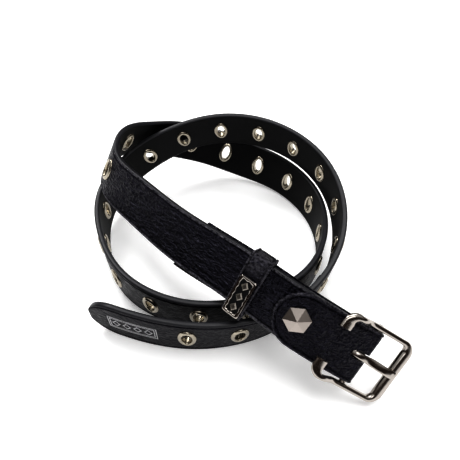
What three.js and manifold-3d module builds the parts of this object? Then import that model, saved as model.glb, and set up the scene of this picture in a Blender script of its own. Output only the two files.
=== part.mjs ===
// A leather belt with oval metal eyelets, lying coiled on a surface.
// Millimetres, +Z up. The origin is the middle of the footprint, on the surface.
import * as THREE from 'three';
import { mergeVertices } from 'three/addons/utils/BufferGeometryUtils.js';
import Module from 'manifold-3d';

const wasm = await Module();
wasm.setup();

// Driving dimensions
const GAP = 0.3;
const STRAP = { width: 30, thickness: 3.4, noseLength: 17, station: 5 };
const EYELET = {
  count: 30, fromTip: 58.4, pitch: 28.82, lastExtra: 4, boreAlong: 5.6, boreAcross: 11,
  wall: 0.5, flange: 2.5, rise: 0.9, sides: 12,
};
const FOLD = {
  width: 31, thickness: 1.5, topLength: 52.6, tailLength: 111.6, tailWidth: 34, tailShift: -2,
  tailSkew: 0.34, tailDrop: 1.4, slotWidth: 6.2, slotLength: 8.5, station: 6, bendStep: 0.45,
};
const BAR = { radius: 1.7, fromRouteEnd: 2.4, length: 39, strapStopsBefore: 9 };
const KEEPER = { fromBar: 68.7, width: 11.5, wall: 1.6, innerWidth: 32.6, innerTop: 6.2, corner: 1 };
const PLATE = { length: 22, width: 9.4, thickness: 1.5, rim: 1.3, recess: 0.8, shift: -5.4 };
const LOZENGE = { count: 3, base: 0.42, top: 0.34, sunk: 0.05 };
const STUD = { fromBar: 40.4, across: 14.5, skirt: 0.9, rise: 2.4 };
const FRAME = {
  outerWidth: 38.8, shift: -0.5, rail: 3, railThickness: 3.6, railHeight: 2,
  railStations: [-12, -9, -6, 0, 8], endBar: 5.2, endReach: 22.8, endCorner: 5, hookReach: 23.8, hook: 6.8, hookThickness: 2.2,
  hookHeight: 5.5, hookGap: 19.6, hookCorner: 4.5, riseFrom: -6, riseTo: -15,
};
const PRONG = { width: 4.5, thickness: 2, reach: 20, bevel: 0.5, root: 0.35, crown: 1.75 };

// The middle of the footprint, measured in the route's own coordinates
const FOOTPRINT_MIDDLE = { x: 3.2, y: -0.4 };

// The middle line of the strap from its tip to the buckle. x is to the right, y is away from the
// viewer and z is up. Lean is in degrees from upright, positive where the top leans outward.
const ROUTE = [
  { place: 'tip, standing on its edge', x: -77, y: -58, z: 15, lean: 0 },
  { place: 'bare end', x: -50, y: -66, z: 15, lean: 0 },
  { place: 'first eyelet', x: -19, y: -70, z: 15, lean: 2 },
  { place: 'under the buckle end', x: 16, y: -64, z: 15, lean: 6 },
  { place: 'right front, leaving the surface', x: 46, y: -46, z: 19, lean: 6 },
  { place: 'right side, outer turn', x: 65, y: -19, z: 27, lean: 2 },
  { place: 'right side, outer turn, higher', x: 70, y: 13, z: 36, lean: -4 },
  { place: 'right back', x: 58, y: 49, z: 44, lean: -11 },
  { place: 'back, over the inner turn', x: 28, y: 74, z: 49, lean: -16 },
  { place: 'back, highest', x: -11, y: 80, z: 49, lean: -16 },
  { place: 'left back, coming down', x: -49, y: 71, z: 40, lean: -14 },
  { place: 'left, under the last corner', x: -76, y: 55, z: 27, lean: -5 },
  { place: 'left side', x: -88, y: 26, z: 20, lean: 3 },
  { place: 'left side, nearly down', x: -81, y: -10, z: 16, lean: 2 },
  { place: 'left front, down again', x: -60, y: -40, z: 15, lean: 2 },
  { place: 'front, behind the tip', x: -24, y: -56, z: 15, lean: 4 },
  { place: 'front, under the keeper', x: 15, y: -51, z: 15, lean: 3 },
  { place: 'right front, inner turn', x: 48, y: -29, z: 15, lean: 0 },
  { place: 'right side, inner turn', x: 63, y: 7, z: 15, lean: -2 },
  { place: 'right back, inner turn', x: 57, y: 45, z: 15, lean: 4 },
  { place: 'back, under the outer turn', x: 34, y: 73, z: 16, lean: 11 },
  { place: 'back, starting to climb', x: 5, y: 86, z: 19, lean: 18 },
  { place: 'back, behind the outer turn', x: -23, y: 89, z: 27, lean: 18 },
  { place: 'left back, climbing', x: -46, y: 82, z: 36, lean: 2 },
  { place: 'left back, nearly up', x: -66, y: 68, z: 46, lean: -20 },
  { place: 'corner', x: -79, y: 48, z: 53, lean: -25 },
  { place: 'corner, turning to the front', x: -79, y: 23, z: 51, lean: -28 },
  { place: 'across the coil', x: -61, y: 2, z: 49, lean: -30 },
  { place: 'across the coil, end of the tail', x: -30, y: -25, z: 48, lean: -33 },
  { place: 'keeper', x: 3, y: -49, z: 48, lean: -36 },
  { place: 'stud, drooping', x: 36, y: -69, z: 41, lean: -38 },
  { place: 'bar of the buckle', x: 73, y: -80, z: 23, lean: -41 },
];

const LEATHER = { color: 0x1b1b20, roughness: 0.5, metalness: 0 };
const NICKEL = { color: 0xb9b3a6, roughness: 0.3, metalness: 1 };
const POLISHED = { color: 0xc9c7c4, roughness: 0.14, metalness: 1 };

// Natural cubic spline through the values at the knots, straight beyond both ends
function naturalSpline(knots, values) {
  const last = knots.length - 1;
  const step = (i) => knots[i + 1] - knots[i];
  const slope = (i) => (values[i + 1] - values[i]) / step(i);
  const bend = new Array(last + 1).fill(0);
  const carried = new Array(last + 1).fill(0);
  for (let i = 1; i < last; i += 1) {
    const pivot = 2 * (step(i - 1) + step(i)) - step(i - 1) * carried[i - 1];
    carried[i] = step(i) / pivot;
    bend[i] = (6 * (slope(i) - slope(i - 1)) - step(i - 1) * bend[i - 1]) / pivot;
  }
  for (let i = last - 1; i > 0; i -= 1) {
    bend[i] -= carried[i] * bend[i + 1];
  }
  return (place) => {
    let i = 0;
    while (i < last - 1 && place > knots[i + 1]) {
      i += 1;
    }
    const inside = THREE.MathUtils.clamp(place, knots[0], knots[last]);
    const before = knots[i + 1] - inside;
    const after = inside - knots[i];
    const h = step(i);
    const value = (bend[i] * before ** 3 + bend[i + 1] * after ** 3) / (6 * h)
      + (values[i] / h - (bend[i] * h) / 6) * before
      + (values[i + 1] / h - (bend[i + 1] * h) / 6) * after;
    const endSlope = slope(i) + ((bend[i] - bend[i + 1]) * h) / 6;
    return value + (place - inside) * endSlope;
  };
}

const ROUTE_SAMPLES = 4000;
const SHORT_STEP = 0.05;

// The strap's middle line: its length, and a point and three directions at any place along it
function layRoute(rows) {
  const knots = [0];
  for (let i = 1; i < rows.length; i += 1) {
    const { x, y, z } = rows[i - 1];
    knots.push(knots[i - 1] + Math.hypot(rows[i].x - x, rows[i].y - y, rows[i].z - z));
  }
  const column = (name) => naturalSpline(knots, rows.map((row) => row[name]));
  const [x, y, z, leanDegrees] = ['x', 'y', 'z', 'lean'].map(column);
  const lean = (t) => THREE.MathUtils.degToRad(leanDegrees(t));
  const restingHeight = (t) => (
    (STRAP.width * Math.cos(lean(t)) + STRAP.thickness * Math.abs(Math.sin(lean(t)))) / 2);
  const spot = (t) => new THREE.Vector3(
    x(t) - FOOTPRINT_MIDDLE.x, y(t) - FOOTPRINT_MIDDLE.y, Math.max(z(t), restingHeight(t)));

  const end = knots[knots.length - 1];
  const lengths = [0];
  for (let i = 1; i <= ROUTE_SAMPLES; i += 1) {
    const chord = spot((end * i) / ROUTE_SAMPLES).distanceTo(spot((end * (i - 1)) / ROUTE_SAMPLES));
    lengths.push(lengths[i - 1] + chord);
  }
  const length = lengths[ROUTE_SAMPLES];

  const knotAt = (place) => {
    if (place >= length) {
      return end + (place - length);
    }
    let low = 0;
    let high = ROUTE_SAMPLES;
    while (high - low > 1) {
      const middle = (low + high) >> 1;
      if (lengths[middle] <= place) {
        low = middle;
      } else {
        high = middle;
      }
    }
    const part = (place - lengths[low]) / (lengths[high] - lengths[low]);
    return (end * (low + part)) / ROUTE_SAMPLES;
  };

  const at = (place) => {
    const t = knotAt(place);
    const along = spot(t + SHORT_STEP).sub(spot(t - SHORT_STEP)).normalize();
    const upright = new THREE.Vector3(0, 0, 1).addScaledVector(along, -along.z).normalize();
    const sideways = new THREE.Vector3().crossVectors(along, upright);
    const across = upright.multiplyScalar(Math.cos(lean(t)))
      .addScaledVector(sideways, Math.sin(lean(t)));
    const outward = new THREE.Vector3().crossVectors(along, across);
    return { spot: spot(t), along, across, outward };
  };
  return { length, at };
}

const route = layRoute(ROUTE);
const barPlace = route.length - BAR.fromRouteEnd;

// A point of the belt: place along it, distance across towards the top edge, height off its middle
function beltPoint(place, across, height) {
  const here = route.at(place);
  return here.spot.addScaledVector(here.across, across).addScaledVector(here.outward, height);
}

// The same near the bar, where the belt is straight and places count from the bar
function barPoint(along, across, height) {
  const here = route.at(barPlace);
  return here.spot.addScaledVector(here.along, along).addScaledVector(here.across, across)
    .addScaledVector(here.outward, height);
}

// A rigid piece's own axes: X along the belt, Y across it, Z out of its face
function beltAxes(place) {
  const here = route.at(place);
  return new THREE.Matrix4().makeBasis(here.along, here.across, here.outward).setPosition(here.spot);
}

// Closed solid through a row of rings of points, with flat ends, or joined end to end
function loft(rings, joined = false) {
  const around = rings[0].length;
  const index = [];
  const spans = joined ? rings.length : rings.length - 1;
  for (let i = 0; i < spans; i += 1) {
    const here = i * around;
    const next = ((i + 1) % rings.length) * around;
    for (let j = 0; j < around; j += 1) {
      const k = (j + 1) % around;
      index.push(here + j, next + j, next + k, here + j, next + k, here + k);
    }
  }
  if (!joined) {
    const far = (rings.length - 1) * around;
    for (let j = 1; j < around - 1; j += 1) {
      index.push(0, j, j + 1);
      index.push(far, far + j + 1, far + j);
    }
  }
  const geometry = new THREE.BufferGeometry();
  geometry.setFromPoints(rings.flat());
  geometry.setIndex(index);
  return facingOut(geometry);
}

function facingOut(geometry) {
  const p = geometry.getAttribute('position');
  const index = geometry.getIndex();
  const corner = (i) => new THREE.Vector3().fromBufferAttribute(p, index.getX(i));
  let volume = 0;
  for (let i = 0; i < index.count; i += 3) {
    volume += corner(i).dot(corner(i + 1).cross(corner(i + 2)));
  }
  if (volume < 0) {
    index.array.reverse();
  }
  return geometry;
}

function toSolid(geometry) {
  const bare = geometry.clone();
  bare.deleteAttribute('normal');
  bare.deleteAttribute('uv');
  const merged = mergeVertices(bare);
  const vertProperties = new Float32Array(merged.getAttribute('position').array);
  const triVerts = new Uint32Array(merged.getIndex().array);
  return new wasm.Manifold(new wasm.Mesh({ numProp: 3, vertProperties, triVerts }));
}

function toGeometry(solid) {
  const { vertProperties, triVerts } = solid.getMesh();
  const geometry = new THREE.BufferGeometry();
  geometry.setAttribute('position', new THREE.BufferAttribute(vertProperties, 3));
  geometry.setIndex(new THREE.BufferAttribute(triVerts, 1));
  return geometry;
}

function piece(name, geometry, finish) {
  geometry.computeVertexNormals();
  const mesh = new THREE.Mesh(geometry, new THREE.MeshStandardMaterial(finish));
  mesh.name = name;
  return mesh;
}

// A piece modelled in its own axes and laid at its place on the belt
function laidPiece(name, geometry, finish, place) {
  const mesh = piece(name, geometry, finish);
  mesh.applyMatrix4(beltAxes(place));
  return mesh;
}

function steps(from, to, longest) {
  const count = Math.max(1, Math.ceil(Math.abs(to - from) / longest));
  return Array.from({ length: count + 1 }, (_, i) => from + ((to - from) * i) / count);
}

function evenly(count) {
  return Array.from({ length: count }, (_, i) => (2 * Math.PI * i) / count);
}

// Half the width of a band whose end is a half ellipse, at a distance from that end
function roundedHalfWidth(half, endLength, distance) {
  const left = Math.max(0, 1 - distance / endLength);
  return half * Math.sqrt(1 - left * left);
}

const NOSE = { firstAngle: 0.2, count: 5 };

// Distances along a rounded end, closer together towards its nose
function noseSteps(endLength) {
  return Array.from({ length: NOSE.count }, (_, i) => {
    const angle = NOSE.firstAngle + ((Math.PI / 2 - NOSE.firstAngle) * i) / NOSE.count;
    return endLength * (1 - Math.cos(angle));
  });
}

// One eyelet hole, or an eyelet's oval at some distance outside its bore
function ovalRing(place, grow, height) {
  return evenly(EYELET.sides).map((angle) => {
    const along = (EYELET.boreAlong / 2 + grow) * Math.cos(angle);
    const across = (EYELET.boreAcross / 2 + grow) * Math.sin(angle);
    return beltPoint(place + along, across, height);
  });
}

// The last eyelet stands a little further on than the others' pitch
const eyeletPlaces = Array.from({ length: EYELET.count }, (_, i) => (
  EYELET.fromTip + i * EYELET.pitch + (i === EYELET.count - 1 ? EYELET.lastExtra : 0)));

function strap() {
  const half = STRAP.width / 2;
  const top = STRAP.thickness / 2;
  const ring = (place) => {
    const w = roundedHalfWidth(half, STRAP.noseLength, place);
    const corners = [[0, top], [w, top], [w, -top], [0, -top], [-w, -top], [-w, top]];
    return corners.map(([across, height]) => beltPoint(place, across, height));
  };
  const nose = noseSteps(STRAP.noseLength);
  const straight = steps(STRAP.noseLength, barPlace - BAR.strapStopsBefore, STRAP.station);
  let solid = toSolid(loft([...nose, ...straight].map(ring)));
  for (const place of eyeletPlaces) {
    const rings = [-top - 1, top + 1].map((height) => ovalRing(place, EYELET.wall + GAP, height));
    solid = solid.subtract(toSolid(loft(rings)));
  }
  return piece('strap', toGeometry(solid), LEATHER);
}

// A rolled eyelet: a thin barrel through the strap with a flange on each face
function eyelet(number) {
  const place = eyeletPlaces[number - 1];
  const under = STRAP.thickness / 2 + GAP;
  const profile = [
    [0, under + EYELET.rise], [EYELET.flange, under], [EYELET.wall, under],
    [EYELET.wall, -under], [EYELET.flange, -under], [0, -under - EYELET.rise],
  ];
  const rings = profile.map(([grow, height]) => ovalRing(place, grow, height));
  const name = `eyelet_${String(number).padStart(2, '0')}`;
  return piece(name, loft(rings, true), NICKEL);
}

// The leather piece folded round the bar: a rounded flap on the face and a longer tail underneath
function buckleFold() {
  const inner = STRAP.thickness / 2 + GAP;
  const outer = inner + FOLD.thickness;
  const half = FOLD.width / 2;
  const nose = noseSteps(half).map((distance) => ({
    place: distance - FOLD.topLength, half: roundedHalfWidth(half, half, distance),
  }));
  const flap = steps(half - FOLD.topLength, 0, FOLD.station).map((place) => ({ place, half }));
  const upper = [...nose, ...flap].map(({ place, half: w }) => (
    [[w, outer], [w, inner], [-w, inner], [-w, outer]].map(([across, height]) => (
      beltPoint(barPlace + place, across, height)))));

  const bend = steps(Math.PI / 2, -Math.PI / 2, FOLD.bendStep).slice(1, -1).map((angle) => (
    [[half, outer], [half, inner], [-half, inner], [-half, outer]].map(([across, radius]) => (
      barPoint(radius * Math.cos(angle), across, radius * Math.sin(angle))))));

  const keeperEnd = KEEPER.fromBar + KEEPER.width / 2;
  const tail = steps(0, -FOLD.tailLength, FOLD.station).map((place) => {
    const loose = THREE.MathUtils.clamp((-place - keeperEnd) / (FOLD.tailLength - keeperEnd), 0, 1);
    const w = THREE.MathUtils.lerp(half, FOLD.tailWidth / 2, loose);
    const drop = FOLD.tailDrop * loose ** 2;
    return [[w, -outer], [w, -inner], [-w, -inner], [-w, -outer]].map(([across, height]) => {
      const skewed = barPlace + place + FOLD.tailSkew * loose * across;
      return beltPoint(skewed, across + FOLD.tailShift * loose, height - drop);
    });
  });

  const solid = toSolid(loft([...upper, ...bend, ...tail]));
  return piece('buckle_fold', toGeometry(solid.subtract(prongSlot(outer))), LEATHER);
}

// The slot that lets the prong through the fold, round at its ends
function prongSlot(outer) {
  const half = FOLD.slotWidth / 2;
  const shape = new THREE.Shape();
  shape.moveTo(outer + 2, half);
  shape.lineTo(half - FOLD.slotLength, half);
  shape.absarc(half - FOLD.slotLength, 0, half, Math.PI / 2, 1.5 * Math.PI, false);
  shape.lineTo(outer + 2, -half);
  shape.closePath();
  const depth = 2 * outer + 4;
  const cutter = new THREE.ExtrudeGeometry(shape, { depth, bevelEnabled: false, curveSegments: 8 });
  cutter.translate(0, 0, -depth / 2);
  cutter.applyMatrix4(beltAxes(barPlace));
  return toSolid(cutter);
}

// The loop round the strap and the tail, with room above the strap for the free end
function keeperLoop() {
  const bottom = STRAP.thickness / 2 + 2 * GAP + FOLD.thickness;
  const place = barPlace - KEEPER.fromBar;
  const side = KEEPER.innerWidth / 2 - KEEPER.corner;
  const high = KEEPER.innerTop - KEEPER.corner;
  const low = KEEPER.corner - bottom;
  const outline = (radius) => (
    [[side, high], [-side, high], [-side, low], [side, low]].flatMap(([across, height], quarter) => (
      [0, 0.5, 1].map((part) => {
        const angle = (Math.PI / 2) * (quarter + part);
        return [across + radius * Math.cos(angle), height + radius * Math.sin(angle)];
      }))));
  const inside = outline(KEEPER.corner);
  const outside = outline(KEEPER.corner + KEEPER.wall);
  const rings = inside.map((point, i) => [
    [-1, point], [1, point], [1, outside[i]], [-1, outside[i]],
  ].map(([side, [across, height]]) => beltPoint(place + (side * KEEPER.width) / 2, across, height)));
  return piece('keeper_loop', loft(rings, true), LEATHER);
}

// The plate on the keeper: a raised rim round a sunk floor with plain lozenges
function keeperPlate() {
  const box = (along, across, height, from) => {
    const shape = new THREE.BoxGeometry(along, across, height);
    shape.translate(0, 0, from + height / 2);
    return toSolid(shape);
  };
  const floor = PLATE.thickness - PLATE.recess;
  const inside = { along: PLATE.width - 2 * PLATE.rim, across: PLATE.length - 2 * PLATE.rim };
  let plate = box(PLATE.width, PLATE.length, PLATE.thickness, 0);
  plate = plate.subtract(box(inside.along, inside.across, PLATE.thickness, floor));
  const share = inside.across / LOZENGE.count;
  for (let i = 0; i < LOZENGE.count; i += 1) {
    const across = share * (i - (LOZENGE.count - 1) / 2);
    const lozenge = new THREE.CylinderGeometry(share * LOZENGE.top, share * LOZENGE.base, PLATE.recess, 4);
    lozenge.rotateX(Math.PI / 2);
    lozenge.translate(0, across, floor + PLATE.recess / 2 - LOZENGE.sunk);
    plate = plate.add(toSolid(lozenge));
  }
  const geometry = toGeometry(plate);
  geometry.translate(0, PLATE.shift, KEEPER.innerTop + KEEPER.wall + GAP);
  return laidPiece('keeper_plate', geometry, NICKEL, barPlace - KEEPER.fromBar);
}

// The six-sided stud through the fold, a low pyramid on a short skirt
function hexStud() {
  const radius = STUD.across / 2;
  const profile = [
    new THREE.Vector2(0, 0), new THREE.Vector2(radius, 0), new THREE.Vector2(radius, STUD.skirt),
    new THREE.Vector2(0, STUD.skirt + STUD.rise),
  ];
  const geometry = new THREE.LatheGeometry(profile, 6);
  geometry.rotateX(Math.PI / 2);
  geometry.translate(0, 0, STRAP.thickness / 2 + 2 * GAP + FOLD.thickness);
  const solid = toSolid(geometry);
  return laidPiece('hex_stud', toGeometry(solid), POLISHED, barPlace - STUD.fromBar);
}

// Half of the frame's middle line in plan, from the hook's end round to the middle of the end bar
function framePath() {
  const rail = (FRAME.outerWidth - FRAME.rail) / 2;
  const hook = FRAME.hook / 2 - FRAME.hookReach;
  const end = FRAME.endReach - FRAME.endBar / 2;
  const stations = [];
  const add = (along, across, angle, kind) => stations.push({ along, across, angle, kind });
  const turn = (centreAlong, centreAcross, radius, from, kinds) => {
    for (const part of [0, 0.25, 0.5, 0.75, 1]) {
      const angle = from - (Math.PI / 2) * part;
      const along = centreAlong + radius * Math.cos(angle);
      const across = centreAcross + radius * Math.sin(angle);
      add(along, across, angle, THREE.MathUtils.lerp(kinds[0], kinds[1], part));
    }
  };
  add(hook, FRAME.hookGap / 2, Math.PI, 0);
  turn(hook + FRAME.hookCorner, rail - FRAME.hookCorner, FRAME.hookCorner, Math.PI, [0, 1]);
  for (const along of FRAME.railStations) {
    add(along, rail, Math.PI / 2, 1);
  }
  turn(end - FRAME.endCorner, rail - FRAME.endCorner, FRAME.endCorner, Math.PI / 2, [1, 2]);
  return stations;
}

// The polished frame: hooks lying on the fold, rails beside it and the end bar, with the fixed bar
function buckleFrame() {
  const widths = [FRAME.hook, FRAME.rail, FRAME.endBar];
  const thicknesses = [FRAME.hookThickness, FRAME.railThickness, FRAME.railThickness];
  const blend = (values, kind) => {
    const low = Math.min(1, Math.floor(kind));
    return THREE.MathUtils.lerp(values[low], values[low + 1], kind - low);
  };
  const section = ({ along, across, angle, kind }) => {
    const w = blend(widths, kind) / 2;
    const t = blend(thicknesses, kind) / 2;
    const rise = THREE.MathUtils.smoothstep(-along, -FRAME.riseFrom, -FRAME.riseTo);
    const middle = THREE.MathUtils.lerp(FRAME.railHeight, FRAME.hookHeight, rise);
    const cut = Math.min(0.45 * t, 0.3 * w);
    const corners = [[w, t - cut], [w - cut, t], [cut - w, t], [-w, t - cut],
      [-w, cut - t], [cut - w, -t], [w - cut, -t], [w, cut - t]];
    return corners.map(([out, up]) => (
      new THREE.Vector3(
        along + out * Math.cos(angle), FRAME.shift + across + out * Math.sin(angle), middle + up)));
  };
  const half = framePath();
  const mirrored = [...half].reverse().map((s) => ({ ...s, across: -s.across, angle: -s.angle }));
  const frame = toSolid(loft([...half, ...mirrored].map(section)));
  const bar = new THREE.CylinderGeometry(BAR.radius, BAR.radius, BAR.length, 12);
  bar.translate(0, FRAME.shift, 0);
  return laidPiece('buckle_frame', toGeometry(frame.add(toSolid(bar))), POLISHED, barPlace);
}

// The prong: an eye round the bar and a blade whose tip lies on the end bar
function prong() {
  const hole = BAR.radius + GAP;
  const eye = hole + PRONG.thickness;
  const rest = FRAME.railHeight + FRAME.railThickness / 2 + GAP;
  const tip = rest + PRONG.thickness;
  const inset = PRONG.bevel;
  const side = new THREE.Shape();
  side.moveTo(0, eye - inset);
  side.lineTo(PRONG.reach - 1.5, tip - inset);
  side.lineTo(PRONG.reach - inset, rest + PRONG.thickness / 2);
  side.lineTo(PRONG.reach - 1, rest + inset);
  side.lineTo(FRAME.endReach - FRAME.endBar - 1, rest + inset);
  side.lineTo(eye + 1.5, hole + inset);
  side.absarc(0, 0, eye - inset, PRONG.root, PRONG.crown - 2 * Math.PI, true);
  const bore = new THREE.Path();
  bore.absarc(0, 0, hole + inset, 0, 2 * Math.PI, false);
  side.holes.push(bore);
  const geometry = new THREE.ExtrudeGeometry(side, {
    depth: PRONG.width - 2 * inset,
    bevelSize: inset,
    bevelThickness: inset,
    bevelSegments: 1,
    curveSegments: 14,
  });
  geometry.translate(0, 0, inset - PRONG.width / 2);
  geometry.rotateX(Math.PI / 2);
  return laidPiece('prong', toGeometry(toSolid(geometry)), POLISHED, barPlace);
}

const group = new THREE.Group();
group.add(strap(), buckleFold(), keeperLoop(), keeperPlate(), hexStud());
group.add(...eyeletPlaces.map((_, i) => eyelet(i + 1)));
group.add(buckleFrame(), prong());

export default group;
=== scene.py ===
"""A black leather belt with oval eyelets, lying coiled on a pale surface."""

import math

import bmesh
import bpy
import numpy as np
from mathutils import Matrix, Vector


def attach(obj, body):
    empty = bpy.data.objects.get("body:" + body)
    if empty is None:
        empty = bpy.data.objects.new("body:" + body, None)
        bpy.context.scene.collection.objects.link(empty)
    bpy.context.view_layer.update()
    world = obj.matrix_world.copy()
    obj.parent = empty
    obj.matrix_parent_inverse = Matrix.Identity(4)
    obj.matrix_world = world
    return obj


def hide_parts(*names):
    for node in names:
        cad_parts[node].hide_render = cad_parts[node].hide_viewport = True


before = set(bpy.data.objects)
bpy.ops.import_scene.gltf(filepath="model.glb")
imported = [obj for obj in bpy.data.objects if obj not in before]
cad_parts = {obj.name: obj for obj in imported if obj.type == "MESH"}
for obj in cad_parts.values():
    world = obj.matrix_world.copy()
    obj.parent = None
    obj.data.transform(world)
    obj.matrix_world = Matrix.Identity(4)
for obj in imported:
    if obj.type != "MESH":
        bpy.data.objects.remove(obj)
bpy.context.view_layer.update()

MM = 0.001

# The belt's sizes, in millimetres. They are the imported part's, apart from the slot's and the end bar's
# widths and the prong's eye, and finer detail is added
GAP = 0.3
WELD = 0.002
STRAP = dict(width=30, thickness=3.4, nose=17, station=1.2, corner=1.2, tip_edge=0.15, field_pitch=1.16,
             field_points=10, paint_inset=0.9, paint_short=0.12)
EYELET = dict(count=30, from_tip=58.4, pitch=28.82, last_extra=4, bore_along=5.6, bore_across=11,
              flange=2.5, hole_grow=1.0, hole_margin=1.05)
PRESSED_RING = dict(depth=0.22, fades_over=0.8, mean_radius=6.5)
FOLD = dict(width=31, thickness=1.5, top=52.6, tail=111.6, tail_width=34, tail_shift=-2,
            tail_skew=0.34, tail_drop=1.4, slot_width=4.8, slot_length=8.5)
BAR = dict(radius=1.7, from_end=2.4, length=39, strap_stops=9)
KEEPER = dict(from_bar=68.7, width=11.5, wall=1.6, inner_width=32.6, inner_top=6.2, corner=1)
PLATE = dict(length=22, width=9.4, rim=1.6, wave=0.2, waves=14, floor=0.7, base=0.05, under_rim=1.04,
             shift=-5.4, corner=0.9)
PLATE_LOZENGE = dict(shifts=(-6.2, 0, 6.2), long=2.5, wide=2.1, side_top=0.95, top=1.35, top_share=0.62)
FRAME = dict(outer=38.8, shift=-0.5, rail=3, rail_thick=3.6, rail_height=2, end_bar=6,
             end_reach=22.8, end_corner=5, hook_reach=23.8, hook=6.8, hook_thick=2.2, hook_height=5.5,
             hook_gap=19.6, hook_corner=4.5, hook_tip=2.2, rise_from=-6, rise_to=-15)
PRONG = dict(width=4.5, thickness=2, reach=20, root=1, rise_from=2, rise_to=15, sag=0.15, eye=2.15,
             eye_slimmer=0.2, slimmer_over=6, round_tip=1.6, tip_width=0.55, thin_tip=0.82, thin_over=3)
FOIL = dict(start=13, end=42, half=5.6, inner_half=4.4, line=0.5, points=12, proud=0.03, depth=0.1)
FOIL_LOZENGE = dict(middles=(18, 24.3, 30.7, 37), long=2.6, wide=2.9, hollow=0.7)
STUD_BEVEL = dict(width=0.35, segments=3)
FOOTPRINT_MIDDLE = (3.2, -0.4)

# The middle line of the strap from tip to buckle: x, y and z in millimetres, and the lean in degrees
# from upright, positive where the top leans outward
ROUTE = [
    dict(place="tip", x=-77, y=-58, z=15, lean=0),
    dict(place="bare end", x=-50, y=-66, z=15, lean=0),
    dict(place="first eyelet", x=-19, y=-70, z=15, lean=2),
    dict(place="under the buckle end", x=16, y=-64, z=15, lean=6),
    dict(place="right front, leaving the surface", x=46, y=-46, z=19, lean=6),
    dict(place="right side, outer turn", x=65, y=-19, z=27, lean=2),
    dict(place="right side, outer turn, higher", x=70, y=13, z=36, lean=-4),
    dict(place="right back", x=58, y=49, z=44, lean=-11),
    dict(place="back, over the inner turn", x=28, y=74, z=49, lean=-16),
    dict(place="back, highest", x=-11, y=80, z=49, lean=-16),
    dict(place="left back, coming down", x=-49, y=71, z=40, lean=-14),
    dict(place="left, under the last corner", x=-76, y=55, z=27, lean=-5),
    dict(place="left side", x=-88, y=26, z=20, lean=3),
    dict(place="left side, nearly down", x=-81, y=-10, z=16, lean=2),
    dict(place="left front, down again", x=-60, y=-40, z=15, lean=2),
    dict(place="front, behind the tip", x=-24, y=-56, z=15, lean=4),
    dict(place="front, under the keeper", x=15, y=-51, z=15, lean=3),
    dict(place="right front, inner turn", x=48, y=-29, z=15, lean=0),
    dict(place="right side, inner turn", x=63, y=7, z=15, lean=-2),
    dict(place="right back, inner turn", x=57, y=45, z=15, lean=4),
    dict(place="back, under the outer turn", x=34, y=73, z=16, lean=11),
    dict(place="back, starting to climb", x=5, y=86, z=19, lean=18),
    dict(place="back, behind the outer turn", x=-23, y=89, z=27, lean=18),
    dict(place="left back, climbing", x=-46, y=82, z=36, lean=2),
    dict(place="left back, nearly up", x=-66, y=68, z=46, lean=-20),
    dict(place="corner", x=-79, y=48, z=53, lean=-25),
    dict(place="corner, turning to the front", x=-79, y=23, z=51, lean=-28),
    dict(place="across the coil", x=-61, y=2, z=49, lean=-30),
    dict(place="across the coil, end of the tail", x=-30, y=-25, z=48, lean=-33),
    dict(place="keeper", x=3, y=-49, z=48, lean=-36),
    dict(place="stud, drooping", x=36, y=-69, z=41, lean=-38),
    dict(place="bar of the buckle", x=73, y=-80, z=23, lean=-41),
]


def natural_spline(knots, values):
    """Natural cubic spline through the values, straight beyond both ends."""
    knots, values = np.array(knots, float), np.array(values, float)
    steps = np.diff(knots)
    slopes = np.diff(values) / steps
    inner = len(knots) - 2
    matrix = (np.diag(2 * (steps[:-1] + steps[1:])) + np.diag(steps[1:-1], 1)
              + np.diag(steps[1:-1], -1))
    bend = np.zeros(inner + 2)
    bend[1:-1] = np.linalg.solve(matrix, 6 * np.diff(slopes))

    def value(place):
        i = np.clip(np.searchsorted(knots, place) - 1, 0, len(steps) - 1)
        inside = np.clip(place, knots[0], knots[-1])
        before, after, h = knots[i + 1] - inside, inside - knots[i], steps[i]
        there = ((bend[i] * before ** 3 + bend[i + 1] * after ** 3) / (6 * h)
                 + (values[i] / h - bend[i] * h / 6) * before
                 + (values[i + 1] / h - bend[i + 1] * h / 6) * after)
        return there + (place - inside) * (slopes[i] + (bend[i] - bend[i + 1]) * h / 6)

    return value


def unit(vectors):
    return vectors / np.linalg.norm(vectors, axis=-1, keepdims=True)


def walked_along(spots):
    """How far each spot is from the first, along the line through them all."""
    return np.concatenate([[0], np.cumsum(np.linalg.norm(np.diff(spots, axis=0), axis=1))])


def lay_route(rows, samples=4000, short=0.05, step=0.25, spare=60):
    """The strap's length and a table of spots and directions at every step, in millimetres."""
    knots = walked_along(np.array([[row["x"], row["y"], row["z"]] for row in rows], float))
    column = {name: natural_spline(knots, [row[name] for row in rows])
              for name in ("x", "y", "z", "lean")}

    def spot(t):
        lean = np.radians(column["lean"](t))
        rest = (STRAP["width"] * np.cos(lean) + STRAP["thickness"] * np.abs(np.sin(lean))) / 2
        return np.stack([column["x"](t) - FOOTPRINT_MIDDLE[0], column["y"](t) - FOOTPRINT_MIDDLE[1],
                         np.maximum(column["z"](t), rest)], axis=-1)

    t = np.linspace(0, knots[-1], samples + 1)
    walked = walked_along(spot(t))
    length = walked[-1]
    places = np.arange(0, length + spare, step)
    t = np.interp(places, walked, t) + np.maximum(places - length, 0)
    along = unit(spot(t + short) - spot(t - short))
    upright = unit(np.array([0, 0, 1]) - along * along[:, 2:])
    lean = np.radians(column["lean"](t))[:, None]
    across = np.cos(lean) * upright + np.sin(lean) * np.cross(along, upright)
    return length, places, np.stack([spot(t), along, across, np.cross(along, across)])


ROUTE_LENGTH, PLACES, DIRECTIONS = lay_route(ROUTE)
BAR_PLACE = ROUTE_LENGTH - BAR["from_end"]


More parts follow.
